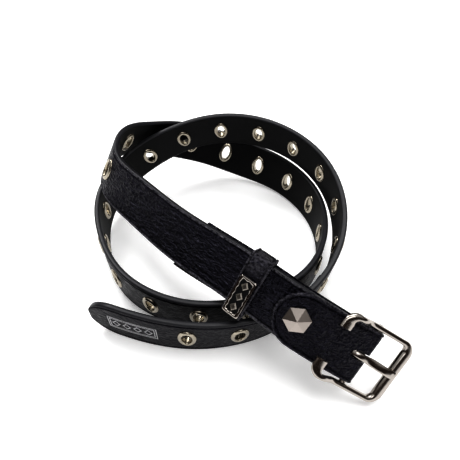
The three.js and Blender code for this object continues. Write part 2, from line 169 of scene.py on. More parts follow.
def at(place):
    """Spot, along, across and outward at a place, or at each of many places."""
    return [np.stack([np.interp(place, PLACES, table[:, k]) for k in range(3)], axis=-1)
            for table in DIRECTIONS]


def belt_point(place, across, height):
    """Place along the belt, distance across towards its top edge and height off its middle."""
    place, across, height = np.broadcast_arrays(*(np.asarray(v, float) for v in (place, across, height)))
    spot, _, side, out = at(place)
    return spot + side * across[..., None] + out * height[..., None]


def flat_point(middle, along, across, height):
    """The same in the straight axes of a stiff piece whose middle lies at one place."""
    spot, forward, side, out = at(middle)
    along, across, height = np.broadcast_arrays(*(np.asarray(v, float) for v in (along, across, height)))
    return spot + forward * along[..., None] + side * across[..., None] + out * height[..., None]


def grid_faces(rows, columns, rows_join=False, columns_join=False):
    """Quads over a grid of points, with the grid joined end to end where that is asked."""
    faces = []
    for i in range(rows if rows_join else rows - 1):
        for j in range(columns if columns_join else columns - 1):
            k, m = (i + 1) % rows, (j + 1) % columns
            faces.append((i * columns + j, i * columns + m, k * columns + m, k * columns + j))
    return faces


def mesh_piece(name, points, faces, materials, body, stands_for=(), slot=None, sharp=40, kinds=None):
    """One closed or open skin in millimetres, made into a piece that moves with its body."""
    mesh = bpy.data.meshes.new(name)
    mesh.from_pydata([tuple(p) for p in np.asarray(points).reshape(-1, 3) * MM], [], faces)
    for material in materials:
        mesh.materials.append(material)
    if kinds is not None:
        mesh.polygons.foreach_set("material_index", kinds)
    shaping = bmesh.new()
    shaping.from_mesh(mesh)
    bmesh.ops.remove_doubles(shaping, verts=shaping.verts, dist=WELD * MM)
    bmesh.ops.dissolve_degenerate(shaping, edges=shaping.edges, dist=WELD * MM)
    loose = [vert for vert in shaping.verts if not vert.link_faces]
    bmesh.ops.delete(shaping, geom=loose, context="VERTS")
    bmesh.ops.recalc_face_normals(shaping, faces=shaping.faces)
    shaping.to_mesh(mesh)
    shaping.free()
    mesh.shade_smooth()
    mesh.set_sharp_from_angle(angle=math.radians(sharp))
    obj = bpy.data.objects.new(name, mesh)
    bpy.context.scene.collection.objects.link(obj)
    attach(obj, body)
    if stands_for:
        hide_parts(*stands_for)
    return obj


def linear(code):
    """A colour written as sRGB hex, as the shader takes it."""
    parts = [int(code[i:i + 2], 16) / 255 for i in (1, 3, 5)]
    return tuple(v / 12.92 if v <= 0.04045 else ((v + 0.055) / 1.055) ** 2.4 for v in parts) + (1,)


def node(tree, kind, settings=None, links=None):
    """Adds a node, sets its properties or inputs by name, and links its inputs."""
    made = tree.nodes.new(kind)
    for key, value in (settings or {}).items():
        if isinstance(key, str) and hasattr(made, key):
            setattr(made, key, value)
        else:
            made.inputs[key].default_value = value
    for key, source in (links or {}).items():
        tree.links.new(source, made.inputs[key])
    return made


def plain_material(name, colour, roughness=0.5, metallic=0.0, **more):
    """A material of one colour, with its shader and tree to build on."""
    material = bpy.data.materials.new(name)
    material.use_nodes = True
    shader = material.node_tree.nodes["Principled BSDF"]
    shader.inputs["Base Color"].default_value = linear(colour)
    shader.inputs["Roughness"].default_value = roughness
    shader.inputs["Metallic"].default_value = metallic
    for key, value in more.items():
        shader.inputs[key.replace("_", " ")].default_value = value
    return material, shader, material.node_tree


def own_place(tree):
    """Where each point is in its own piece's coordinates, in metres."""
    return node(tree, "ShaderNodeTexCoord").outputs["Object"]


def noise(tree, where, scale, detail, **more):
    """Soft random values from 0 to 1, finer with a larger scale."""
    settings = {"Scale": scale, "Detail": detail, **more}
    return node(tree, "ShaderNodeTexNoise", settings, {"Vector": where}).outputs["Fac"]


def spread(tree, value, low, high, to_low=0.0, to_high=1.0):
    """What lies between low and high, spread over another range."""
    settings = {"From Min": low, "From Max": high, "To Min": to_low, "To Max": to_high}
    return node(tree, "ShaderNodeMapRange", settings, {"Value": value}).outputs["Result"]


def blend(tree, share, colour, other):
    """The first colour where the share is 0, turning into the other where it is 1."""
    settings = {"data_type": "RGBA", 6: linear(colour), 7: linear(other)}
    return node(tree, "ShaderNodeMix", settings, {0: share}).outputs[2]


def relief(tree, shader, height, depth, strength=1.0):
    """Bumps on the shader's surface that follow a height, with their depth in millimetres."""
    bump = node(tree, "ShaderNodeBump", {"Strength": strength, "Distance": depth * MM}, {"Height": height})
    tree.links.new(bump.outputs["Normal"], shader.inputs["Normal"])
    return bump


# The leather's grain: which way its wrinkles run in degrees, how much longer than wide they are, and
# how much they count against the pebbles; a pebble's width and the deepest relief in millimetres
GRAIN = dict(slope=-38, stretch=2.8, weight=4.0, pebble=1.6, depth=0.95)


def grained_leather(name, colour, rubbed_and_highlight_colour):
    """Cowhide plated with a soft grain under a black finish: long shallow wrinkles over faint pebbles,
    shinier where the grain is deep, and paler along cut edges and raised rims: partly rubbed wear, partly a
    painted highlight."""
    material, shader, tree = plain_material(name, colour, Specular_Tint=linear("#d6d2f6"))
    where = own_place(tree)
    lengthwise = node(tree, "ShaderNodeMapping",
                      {"vector_type": "TEXTURE", "Scale": (GRAIN["stretch"], 1, 1),
                       "Rotation": (0, 0, math.radians(GRAIN["slope"]))}, {"Vector": where})
    wrinkles = noise(tree, lengthwise.outputs["Vector"], scale=420, detail=2, Distortion=1.2)
    pebbles = node(tree, "ShaderNodeTexVoronoi",
                   {"feature": "SMOOTH_F1", "Scale": 1 / (GRAIN["pebble"] * MM)}, {"Vector": where})
    both = node(tree, "ShaderNodeMath", {"operation": "MULTIPLY_ADD", 1: GRAIN["weight"]},
                {0: wrinkles, 2: pebbles.outputs["Distance"]})
    grain = node(tree, "ShaderNodeAttribute", {"attribute_name": "grain"}).outputs["Fac"]
    bump = relief(tree, shader, both.outputs["Value"], depth=GRAIN["depth"])
    tree.links.new(grain, bump.inputs["Strength"])
    # Paler colour on edges and rims: partly rubbed wear, partly a painted highlight, broken up by scuffs
    scuffs = spread(tree, noise(tree, where, scale=700, detail=3), 0.36, 0.64)
    rubbed_and_highlight = node(tree, "ShaderNodeAttribute", {"attribute_name": "rubbed_and_highlight"}).outputs["Fac"]
    worn_and_highlight_share = node(tree, "ShaderNodeMath", {"operation": "MULTIPLY"}, {0: scuffs, 1: rubbed_and_highlight}).outputs["Value"]
    tree.links.new(blend(tree, worn_and_highlight_share, colour, rubbed_and_highlight_colour), shader.inputs["Base Color"])
    tree.links.new(spread(tree, wrinkles, 0.35, 0.65, 0.5, 0.3), shader.inputs["Roughness"])
    tree.links.new(spread(tree, grain, 0, 1, 0.08, 0.24), shader.inputs["Specular IOR Level"])
    return material


def smooth_lining(name, colour):
    """Finished split leather, sueded and sealed: a flat black with a very fine nap and little shine."""
    material, shader, tree = plain_material(name, colour, 0.55, Specular_IOR_Level=0.1)
    relief(tree, shader, noise(tree, own_place(tree), scale=900, detail=3), depth=0.1, strength=0.25)
    return material


def painted_edge(name, colour):
    """Cut leather edges sealed with a few coats of edge paint: smooth, with a soft rubber-like shine."""
    material, shader, tree = plain_material(name, colour, 0.42, Specular_IOR_Level=0.4)
    relief(tree, shader, noise(tree, own_place(tree), scale=330, detail=2), depth=0.15, strength=0.2)
    return material


def nickel(name, colour, roughness, ripple):
    """Nickel plate over a cast or pressed part: bright, with a faint unevenness from polishing."""
    material, shader, tree = plain_material(name, colour, roughness, metallic=1.0)
    relief(tree, shader, noise(tree, own_place(tree), scale=240, detail=2), depth=0.1, strength=ripple)
    return material


def baked_enamel(name, colour):
    """Black enamel baked into the plate's recess: matt, pooled a little smoother in places, so that the
    raised lozenges stand out against it."""
    material, shader, tree = plain_material(name, colour, Specular_IOR_Level=0.2)
    pools = noise(tree, own_place(tree), scale=600, detail=2)
    relief(tree, shader, pools, depth=0.05, strength=0.2)
    tree.links.new(spread(tree, pools, 0.35, 0.65, 0.42, 0.6), shader.inputs["Roughness"])
    return material


def hot_foil(name, colour, thin_colour):
    """Silver foil stamped hot on leather: the grain under it leaves the metal thinner, greyer and duller
    in small specks."""
    material, shader, tree = plain_material(name, colour, metallic=0.6)
    thin = spread(tree, noise(tree, own_place(tree), scale=1100, detail=3), 0.52, 0.66)
    tree.links.new(blend(tree, thin, colour, thin_colour), shader.inputs["Base Color"])
    tree.links.new(spread(tree, thin, 0, 1, 0.32, 0.5), shader.inputs["Roughness"])
    return material


# The last colour is the paler edge colour: partly rubbed wear, partly a painted highlight
LEATHER = grained_leather("black_plated_cowhide", "#08070b", "#6c6a70")
LINING = smooth_lining("black_finished_split_lining", "#08080a")
EDGE = painted_edge("painted_leather_edge", "#1c1c21")
EYELET_NICKEL = nickel("satin_nickel_on_brass", "#a9a294", 0.27, 0.15)
BUCKLE_NICKEL = nickel("polished_nickel_casting", "#aea8a2", 0.13, 0.1)
STUD_NICKEL = nickel("satin_nickel_stud", "#a8a09a", 0.29, 0.05)
DARK_NICKEL = nickel("blackened_nickel", "#8a857e", 0.28, 0.1)
PLATE_FLOOR = baked_enamel("baked_black_enamel", "#08080a")
PRINT = hot_foil("silver_hot_foil", "#bdbdbf", "#8c8c8f")


def set_amount(obj, name, amount):
    """How deep the grain lies, or how much paler the finish is from rubbed wear and painted highlight, at
    each point of a piece.
    """
    amount = np.broadcast_to(amount, len(obj.data.vertices)).astype(np.float32)
    obj.data.attributes.new(name, "FLOAT", "POINT").data.foreach_set("value", amount)


def spots_of(obj):
    """Where a piece's points are, in millimetres."""
    spots = np.zeros(len(obj.data.vertices) * 3)
    obj.data.vertices.foreach_get("co", spots)
    return spots.reshape(-1, 3) / MM


def belt_places(spots, every=2):
    """Each spot's place along the belt, distance across and height, by the nearest row of the route's
    table, of which only every so many are tried."""
    places = PLACES[::every]
    middle, _, side, out = (table[::every] for table in DIRECTIONS)
    near = np.array([np.argmin(((middle - spot) ** 2).sum(axis=1)) for spot in spots])
    off = spots - middle[near]
    return places[near], (off * side[near]).sum(axis=1), (off * out[near]).sum(axis=1)


def smoothstep(value, low, high):
    """0 up to low and 1 from high on, with a soft start and end between them."""
    share = np.clip((value - low) / (high - low), 0, 1)
    return share * share * (3 - 2 * share)


EYELET_PLACES = EYELET["from_tip"] + EYELET["pitch"] * np.arange(EYELET["count"])
EYELET_PLACES[-1] += EYELET["last_extra"]


def oval_distance(place, across, grow):
    """Distance from the nearest eyelet's middle, as a share of an oval that much outside the bore."""
    nearest = EYELET_PLACES[np.argmin(np.abs(place[..., None] - EYELET_PLACES), axis=-1)]
    along = (place - nearest) / (EYELET["bore_along"] / 2 + grow)
    return np.sqrt(along ** 2 + (across / (EYELET["bore_across"] / 2 + grow)) ** 2)


# The crease pressed along each edge of the strap's face: distance in from the edge, depth
CREASE = [dict(inset=1.4, depth=0), dict(inset=1.75, depth=0.2), dict(inset=2.1, depth=0.7),
          dict(inset=2.5, depth=0.2), dict(inset=3.0, depth=0)]


def strap_section():
    """Across and height all round the strap, and what each part is: 0 face, 1 painted edge, 2 lining."""
    half, top, corner = STRAP["width"] / 2, STRAP["thickness"] / 2, STRAP["corner"]
    turn = np.linspace(0, math.pi / 2, 6)
    edge = [(half - corner + corner * math.cos(a), top - corner + corner * math.sin(a)) for a in turn]
    creased = [(half - row["inset"], top - row["depth"]) for row in CREASE]
    plain = [(half - row["inset"], top) for row in CREASE]
    pitch = STRAP["field_pitch"]
    field = [(b, top) for b in np.arange(STRAP["field_points"] * pitch, pitch / 2, -pitch)]
    upper = edge + creased + field
    lower = edge + plain + field
    face = upper + [(0, top)] + [(-b, h) for b, h in reversed(upper)]
    back = lower + [(0, top)] + [(-b, h) for b, h in reversed(lower)]
    ring = np.array(face + [(b, -h) for b, h in reversed(back[1:-1])])
    following = np.roll(ring, -1, axis=0)
    middle = (ring + following) / 2
    on_side = np.abs(middle[:, 0]) > half - STRAP["paint_inset"]
    painted = on_side & (np.abs(middle[:, 1]) < top - STRAP["paint_short"])
    return ring, np.where(painted, 1, np.where(middle[:, 1] < 0, 2, 0))


def hole_walls(cut, columns):
    """Walls through the strap, from the rim of what is cut from its face to the same rim on its back."""
    uses = {}
    for quad in cut:
        for a, b in zip(quad, quad[1:] + quad[:1]):
            uses.setdefault(frozenset((a, b)), []).append((a, b))

    def behind(point):
        return point - point % columns + (columns - point % columns) % columns

    rim = [edges[0] for edges in uses.values() if len(edges) == 1]
    return [(a, b, behind(b), behind(a)) for a, b in rim]


def strap():
    """The strap, with its creased face, its painted edges and a pressed ring round each eyelet."""
    section, finish = strap_section()
    nose = STRAP["nose"] * (1 - np.cos(np.linspace(0.05, math.pi / 2, 16)))[:-1]
    end = BAR_PLACE - BAR["strap_stops"]
    places = np.concatenate([nose, np.linspace(STRAP["nose"], end, round(end / STRAP["station"]))])
    narrowing = np.sqrt(1 - np.maximum(0, 1 - places / STRAP["nose"]) ** 2)
    thinning = np.sqrt(1 - np.clip(1 - (places + STRAP["tip_edge"]) / STRAP["corner"], 0, 1) ** 2)
    place, across = np.meshgrid(places, section[:, 0], indexing="ij")
    across = across * narrowing[:, None]
    height = section[None, :, 1] * thinning[:, None]
    beyond = (oval_distance(place, across, EYELET["flange"]) - 1) * PRESSED_RING["mean_radius"]
    pressed = np.exp(-(np.maximum(beyond, 0) / PRESSED_RING["fades_over"]) ** 2)
    height = height - np.sign(height) * PRESSED_RING["depth"] * pressed
    rows, columns = place.shape
    hole = oval_distance(place, across, EYELET["hole_grow"]).ravel()
    faces, kinds, cut = [], [], []
    for index, quad in enumerate(grid_faces(rows, columns, columns_join=True)):
        column = index % columns
        if max(hole[list(quad)]) > EYELET["hole_margin"]:
            faces.append(quad)
            kinds.append(int(finish[column]))
        elif column < columns // 2:
            cut.append(quad)
    walls = hole_walls(cut, columns)
    ends = [tuple(range(columns)), tuple(range((rows - 1) * columns, rows * columns))]
    faces += walls + ends
    kinds += [1] * (len(walls) + len(ends))
    return mesh_piece("strap_leather", belt_point(place, across, height), faces, [LEATHER, EDGE, LINING],
                      "belt", ["strap"], "strap_leather", kinds=kinds)


# Half of an eyelet's section: how far outside its bore, and how far off the leather's face
ROLL = [dict(grow=0, rise=-0.3), dict(grow=0.05, rise=0.45), dict(grow=0.3, rise=0.88),
        dict(grow=0.7, rise=1.08), dict(grow=1.2, rise=1.1), dict(grow=1.7, rise=0.92),
        dict(grow=2.15, rise=0.6), dict(grow=2.42, rise=0.25), dict(grow=2.5, rise=0.0),
        dict(grow=2.45, rise=-0.3), dict(grow=0.5, rise=-0.3)]


def eyelet(number, around=48):
    """A rolled oval eyelet: a barrel through the strap and a domed flange on each face."""
    top = STRAP["thickness"] / 2
    half = [(row["grow"], top + row["rise"]) for row in ROLL]
    ring = np.array(half + [(grow, -height) for grow, height in reversed(half)])
    angle = np.linspace(0, 2 * math.pi, around, endpoint=False)
    grow = ring[None, :, 0]
    along = (EYELET["bore_along"] / 2 + grow) * np.cos(angle)[:, None]
    across = (EYELET["bore_across"] / 2 + grow) * np.sin(angle)[:, None]
    points = belt_point(EYELET_PLACES[number - 1] + along, across, ring[None, :, 1] + 0 * along)
    faces = grid_faces(around, len(ring), rows_join=True, columns_join=True)
    return mesh_piece(f"rolled_eyelet_{number:02d}", points, faces, [EYELET_NICKEL], "belt",
                      [f"eyelet_{number:02d}"], "eyelet_nickel", sharp=60)


# From the fold's edge inwards: distance in, and how far its face stands off its flat field there
FOLD_RIM = [dict(inset=0, off=-0.75), dict(inset=0.1, off=-0.4), dict(inset=0.3, off=-0.12),
            dict(inset=0.6, off=0.12), dict(inset=1.0, off=0.25), dict(inset=1.5, off=0.2),
            dict(inset=1.9, off=-0.1), dict(inset=2.2, off=-0.5), dict(inset=2.5, off=-0.12),
            dict(inset=2.7, off=0), dict(inset=3.6, off=0), dict(inset=5, off=0),
            dict(inset=6.8, off=0), dict(inset=8.8, off=0), dict(inset=10.6, off=0),
            dict(inset=12.4, off=0), dict(inset=14, off=0), dict(inset=15.5, off=0)]


def slot_half_width(place):
    """Half the width of the prong's slot, which is round at its end."""
    half = FOLD["slot_width"] / 2
    into = np.clip((place + FOLD["slot_length"]) / half, 0, 1)
    return half * math.sqrt(1 - (1 - into) ** 2)


# Steps along the fold's outline, from its nose down its flap, by the round end of the slot to the bar,
# round the bar and down its tail
FOLD_STEPS = dict(nose=20, flap=16, slot_end=7, to_bar=5, bend=24, tail=60)


def fold_stations():
    """Along the fold's outline: round the flap's nose, down the flap, round the bar and down the tail."""
    quarter, slot_start = math.pi / 2, -FOLD["slot_length"]
    straight = FOLD["width"] / 2 - FOLD["top"]
    stations = [("nose", a) for a in np.linspace(0, quarter, FOLD_STEPS["nose"])[:-1]]
    stations += [("flap", p) for p in np.linspace(straight, slot_start, FOLD_STEPS["flap"])[:-1]]
    round_end = 1 - np.cos(np.linspace(0, quarter, FOLD_STEPS["slot_end"]))
    slot = slot_start + FOLD["slot_width"] / 2 * round_end
    near_bar = list(slot) + list(np.linspace(slot[-1], 0, FOLD_STEPS["to_bar"])[1:])
    stations += [("flap", p) for p in near_bar]
    stations += [("bend", a) for a in np.linspace(quarter, -quarter, FOLD_STEPS["bend"])[1:-1]]
    stations += [("tail", p) for p in reversed(near_bar)]
    stations += [("tail", p) for p in np.linspace(slot_start, -FOLD["tail"], FOLD_STEPS["tail"])[1:]]
    return stations


def beside_slot(kind, value, slack=0.01):
    """Whether the prong's slot cuts the fold between this station and the next."""
    if kind == "tail":
        return value > slack - FOLD["slot_length"]
    return kind == "bend" or (kind == "flap" and value > -slack - FOLD["slot_length"])


def fold_row(station, side, height):
    """The points across one half of the fold at one station, at a height for each inset."""
    kind, value = station
    half = FOLD["width"] / 2
    inset = np.array([row["inset"] for row in FOLD_RIM])
    if kind == "nose":
        place = half - FOLD["top"] - (half - inset) * math.cos(value)
        return belt_point(BAR_PLACE + place, side * (half - inset) * math.sin(value), height)
    slot = FOLD["slot_width"] / 2 if kind == "bend" else slot_half_width(value)
    across = side * (slot + (half - slot) * (1 - inset / half))
    if kind == "flap":
        return belt_point(BAR_PLACE + value, across, height)
    if kind == "bend":
        return flat_point(BAR_PLACE, height * math.cos(value), across, height * math.sin(value))
    keeper_end = KEEPER["from_bar"] + KEEPER["width"] / 2
    loose = np.clip((-value - keeper_end) / (FOLD["tail"] - keeper_end), 0, 1)
    across = across * (1 + loose * (FOLD["tail_width"] / FOLD["width"] - 1))
    place = BAR_PLACE + value + FOLD["tail_skew"] * loose * across
    return belt_point(place, across + FOLD["tail_shift"] * loose, -height - FOLD["tail_drop"] * loose ** 2)


def buckle_fold():
    """The grained leather folded round the bar, with a raised rim, a crease and the prong's slot."""
    inner = STRAP["thickness"] / 2 + GAP
    face = inner + FOLD["thickness"] + np.array([row["off"] for row in FOLD_RIM])
    under = np.full(len(FOLD_RIM), inner)
    stations = fold_stations()
    insets = len(FOLD_RIM)
    points, faces = [], []
    for side in (1, -1):
        for height in (face, under):
            for station in stations:
                points.append(fold_row(station, side, height))
    skin = len(stations) * insets
    for half in (0, 1):
        outer, lower = 2 * half * skin, (2 * half + 1) * skin
        for start in (outer, lower):
            faces += [tuple(start + k for k in quad) for quad in grid_faces(len(stations), insets)]
        for i in range(len(stations) - 1):
            here, there = i * insets, (i + 1) * insets
            faces.append((outer + here, outer + there, lower + there, lower + here))
            if beside_slot(*stations[i]):
                last = insets - 1
                faces.append((outer + here + last, outer + there + last,
                              lower + there + last, lower + here + last))
        cut = (len(stations) - 1) * insets
        for j in range(insets - 1):
            faces.append((outer + cut + j, outer + cut + j + 1, lower + cut + j + 1, lower + cut + j))
    return mesh_piece("fold_leather", np.concatenate(points), faces, [LEATHER], "belt",
                      ["buckle_fold"], "grained_leather")


# Across the keeper's width: distance from its middle, and how far off its inner face
KEEPER_SECTION = [dict(side=-5.75, off=0.25), dict(side=-5.5, off=0), dict(side=5.5, off=0),
                  dict(side=5.75, off=0.25), dict(side=5.75, off=1.1), dict(side=5.6, off=1.55),
                  dict(side=5.2, off=1.85), dict(side=4.7, off=1.8), dict(side=4.35, off=1.25),
                  dict(side=4.0, off=1.5), dict(side=3.4, off=1.6), dict(side=0, off=1.6),
                  dict(side=-3.4, off=1.6), dict(side=-4.0, off=1.5), dict(side=-4.35, off=1.25),
                  dict(side=-4.7, off=1.8), dict(side=-5.2, off=1.85), dict(side=-5.6, off=1.55),
                  dict(side=-5.75, off=1.1)]


def rounded_outline(half_width, high, low, radius, turn_steps=8, side_steps=8):
    """Centres and directions round a rounded rectangle, so that it can be grown outwards."""
    corners = [(half_width - radius, high - radius), (radius - half_width, high - radius),
               (radius - half_width, low + radius), (half_width - radius, low + radius)]
    around = []
    for quarter, (b, h) in enumerate(corners):
        for a in np.linspace(0, math.pi / 2, turn_steps) + quarter * math.pi / 2:
            around.append((b, h, math.cos(a), math.sin(a)))
        b2, h2 = corners[(quarter + 1) % 4]
        a = (quarter + 1) * math.pi / 2
        for share in np.linspace(0, 1, side_steps)[1:-1]:
            around.append((b + (b2 - b) * share, h + (h2 - h) * share, math.cos(a), math.sin(a)))
    return np.array(around)


def keeper_loop():
    """The loop of grained leather that takes the free end, creased along both its edges."""
    low = -(STRAP["thickness"] / 2 + 2 * GAP + FOLD["thickness"])
    around = rounded_outline(KEEPER["inner_width"] / 2, KEEPER["inner_top"], low, KEEPER["corner"])
    side = np.array([row["side"] for row in KEEPER_SECTION])
    off = KEEPER["corner"] + np.array([row["off"] for row in KEEPER_SECTION])
    across = around[:, 0:1] + around[:, 2:3] * off
    height = around[:, 1:2] + around[:, 3:4] * off
    points = belt_point(BAR_PLACE - KEEPER["from_bar"] + side[None, :], across, height)
    faces = grid_faces(len(around), len(side), rows_join=True, columns_join=True)
    return mesh_piece("keeper_leather", points, faces, [LEATHER], "belt", ["keeper_loop"],
                      "grained_leather")


def plate_point(along, across, height):
    """A point of the keeper's plate, from the middle of its underside."""
    return flat_point(BAR_PLACE - KEEPER["from_bar"], along, PLATE["shift"] + across,
                      KEEPER["inner_top"] + KEEPER["wall"] + GAP + height)


# Across the plate's rim, from outside to inside: share of its width, and height
RIM_SECTION = [dict(share=0, height=0), dict(share=0, height=1.05), dict(share=0.12, height=1.38),
               dict(share=0.35, height=1.5), dict(share=0.65, height=1.5), dict(share=0.88, height=1.38),
               dict(share=1, height=1.1), dict(share=1, height=0)]


def keeper_plate():
    """The plate's polished rim with its wavy inner edge, its dark floor and three plain lozenges."""
    half_long, half_wide = PLATE["length"] / 2, PLATE["width"] / 2
    around = rounded_outline(half_long, half_wide, -half_wide, PLATE["corner"], turn_steps=6, side_steps=24)
    outer = around[:, :2] + around[:, 2:] * PLATE["corner"]
    walked = walked_along(outer)
    wave = PLATE["wave"] * np.cos(walked / walked[-1] * 2 * math.pi * PLATE["waves"])
    scale = np.array([half_long, half_wide])
    inner = outer * (1 - (PLATE["rim"] + wave[:, None]) / scale)
    share = np.array([row["share"] for row in RIM_SECTION])
    height = np.array([row["height"] for row in RIM_SECTION])
    spots = outer[:, None, :] * (1 - share[None, :, None]) + inner[:, None, :] * share[None, :, None]
    points = plate_point(spots[..., 1], spots[..., 0], height + 0 * spots[..., 0])
    faces = grid_faces(len(outer), len(share), rows_join=True, columns_join=True)
    mesh_piece("keeper_plate_rim", points, faces, [BUCKLE_NICKEL], "belt", ["keeper_plate"],
               "eyelet_nickel")
    middle = inner * PLATE["under_rim"]
    levels = [plate_point(middle[:, 1], middle[:, 0], PLATE[level]) for level in ("floor", "base")]
    swept(levels, "keeper_plate_floor", PLATE_FLOOR, "belt", slot="eyelet_nickel")
    for index, shift in enumerate(PLATE_LOZENGE["shifts"]):
        plate_lozenge(f"keeper_plate_lozenge_{index + 1}", shift)


def lozenge_corners(sizes):
    """The four corners of a lozenge, from its middle."""
    long, wide = sizes["long"], sizes["wide"]
    return np.array([(long, 0), (0, wide), (-long, 0), (0, -wide)])


def plate_lozenge(name, shift):
    """A low four-sided figure with a flat top on the plate's floor."""
    corners = lozenge_corners(PLATE_LOZENGE)
    levels = [(1, PLATE["floor"]), (1, PLATE_LOZENGE["side_top"]),
              (PLATE_LOZENGE["top_share"], PLATE_LOZENGE["top"])]
    rings = [plate_point(corners[:, 1] * size, shift + corners[:, 0] * size, height)
             for size, height in levels]
    swept(rings, name, DARK_NICKEL, "belt", slot="eyelet_nickel", sharp=20)


def frame_path(quarter_steps=13, rail_steps=22, end_bar_stations=(7.5, 3.5)):
    """Half of the frame's middle line, from a hook's end round to the middle of the end bar: along and
    across, its angle, what it is (0 hook, 1 rail, 2 end bar) and its size as a share."""
    rail = (FRAME["outer"] - FRAME["rail"]) / 2
    hook = FRAME["hook"] / 2 - FRAME["hook_reach"]
    end = FRAME["end_reach"] - FRAME["end_bar"] / 2
    path = []
    for share in (0, 0.12, 0.3, 0.55, 0.8, 1):
        size = max(0.05, math.sqrt(1 - (1 - share) ** 2))
        path.append((hook, FRAME["hook_gap"] / 2 + FRAME["hook_tip"] * (1 - share), math.pi, 0, size))

    def turn(along, across, radius, start, low, high):
        for part in np.linspace(0, 1, quarter_steps):
            angle = start - math.pi / 2 * part
            path.append((along + radius * math.cos(angle), across + radius * math.sin(angle), angle,
                         low + (high - low) * part, 1))

    corner, end_corner = FRAME["hook_corner"], FRAME["end_corner"]
    turn(hook + corner, rail - corner, corner, math.pi, 0, 1)
    for along in np.linspace(hook + corner, end - end_corner, rail_steps)[1:-1]:
        path.append((along, rail, math.pi / 2, 1, 1))
    turn(end - end_corner, rail - end_corner, end_corner, math.pi / 2, 1, 2)
    for across in end_bar_stations:
        path.append((end, across, 0, 2, 1))
    return path


def squarer(wave, power):
    """A sine or cosine that draws a squarer outline, the squarer the lower the power is."""
    return np.sign(wave) * np.abs(wave) ** power


def frame_section(along, across, angle, kind, size, around=28):
    """The frame's rounded section at one station of its path: flatter beneath than on top."""
    widths = (FRAME["hook"], FRAME["rail"], FRAME["end_bar"])
    thicknesses = (FRAME["hook_thick"], FRAME["rail_thick"], FRAME["rail_thick"])
    half_wide = np.interp(kind, (0, 1, 2), widths) / 2
    half_thick = np.interp(kind, (0, 1, 2), thicknesses) / 2
    rise = smoothstep(-along, -FRAME["rise_from"], -FRAME["rise_to"])
    middle = FRAME["rail_height"] + (FRAME["hook_height"] - FRAME["rail_height"]) * rise
    turn = np.linspace(0, 2 * math.pi, around, endpoint=False)
    out = half_wide * size * squarer(np.cos(turn), 0.75)
    up = half_thick * size * squarer(np.sin(turn), np.where(np.sin(turn) > 0, 0.85, 0.5))
    return flat_point(BAR_PLACE, along + out * math.cos(angle),
                      FRAME["shift"] + across + out * math.sin(angle), middle + up)


def swept(rings, name, material, body, **more):
    """A closed solid through rings of points, capped at both ends."""
    count, around = len(rings), len(rings[0])
    faces = grid_faces(count, around, columns_join=True)
    faces += [tuple(range(around)), tuple(range((count - 1) * around, count * around))]
    return mesh_piece(name, np.concatenate(rings), faces, [material], body, **more)


# The bar's peened end: distance in from its tip, and its radius there
BAR_END = [dict(inset=0, radius=0.9), dict(inset=0.15, radius=1.35), dict(inset=0.5, radius=BAR["radius"])]


def buckle_frame():
    """The polished frame, from hook to hook, and the bar with its peened ends through the rails."""
    half = frame_path()
    mirrored = [(along, -across, -angle, kind, size) for along, across, angle, kind, size in reversed(half)]
    rings = [frame_section(*station) for station in half + mirrored]
    swept(rings, "frame_casting", BUCKLE_NICKEL, "buckle", stands_for=["buckle_frame"],
          slot="buckle_nickel", sharp=50)
    turn = np.linspace(0, 2 * math.pi, 24, endpoint=False)
    ends = [(BAR["length"] / 2 - row["inset"], row["radius"]) for row in BAR_END]
    stations = ends + [(-b, radius) for b, radius in reversed(ends)]
    rings = [flat_point(BAR_PLACE, radius * np.cos(turn), FRAME["shift"] + b, radius * np.sin(turn))
             for b, radius in stations]
    swept(rings, "fixed_bar", BUCKLE_NICKEL, "buckle", slot="buckle_nickel")


def prong_line(blade_steps=26, eye_steps=34):
    """The prong's middle line in side view: along and height, from its tip back and round the bar."""
    radius = BAR["radius"] + GAP + PRONG["thickness"] / 2
    tip_height = FRAME["rail_height"] + FRAME["rail_thick"] / 2 + GAP + PRONG["thickness"] / 2
    blade = []
    for along in np.linspace(PRONG["reach"], PRONG["root"], blade_steps):
        rise = (tip_height - radius) * smoothstep(along, PRONG["rise_from"], PRONG["rise_to"])
        blade.append((along, radius + rise - PRONG["sag"] * math.sin(math.pi * along / PRONG["reach"])))
    eye = [(radius * math.cos(t) * (PRONG["eye"] if math.cos(t) < 0 else 1), radius * math.sin(t))
           for t in np.linspace(1.5, 2 * math.pi - 0.45, eye_steps)]
    return np.array(blade + eye)


def prong():
    """The prong: a flat rounded blade whose root is bent round the bar."""
    line = prong_line()
    direction = unit(np.gradient(line, axis=0))
    normal = np.stack([direction[:, 1], -direction[:, 0]], axis=1)
    turn = np.linspace(0, 2 * math.pi, 24, endpoint=False)
    wide = squarer(np.cos(turn), 0.6) * PRONG["width"] / 2
    thick = squarer(np.sin(turn), 0.7) * PRONG["thickness"] / 2
    rings = []
    for spot, off, far in zip(line, normal, walked_along(line)):
        size = math.sqrt(1 - (1 - min(1, (far + 0.08) / PRONG["round_tip"])) ** 2)
        thin = size * (PRONG["thin_tip"] if far < PRONG["thin_over"] else 1)
        points = spot[None, :] + off[None, :] * (thick * thin)[:, None]
        slim = 1 - PRONG["eye_slimmer"] * smoothstep(-spot[0], -PRONG["slimmer_over"], 0)
        full = PRONG["tip_width"] + (1 - PRONG["tip_width"]) * size
        rings.append(flat_point(BAR_PLACE, points[:, 0], wide * slim * full, points[:, 1]))
    swept(rings, "prong_casting", BUCKLE_NICKEL, "tongue", stands_for=["prong"], slot="buckle_nickel",
          sharp=50)


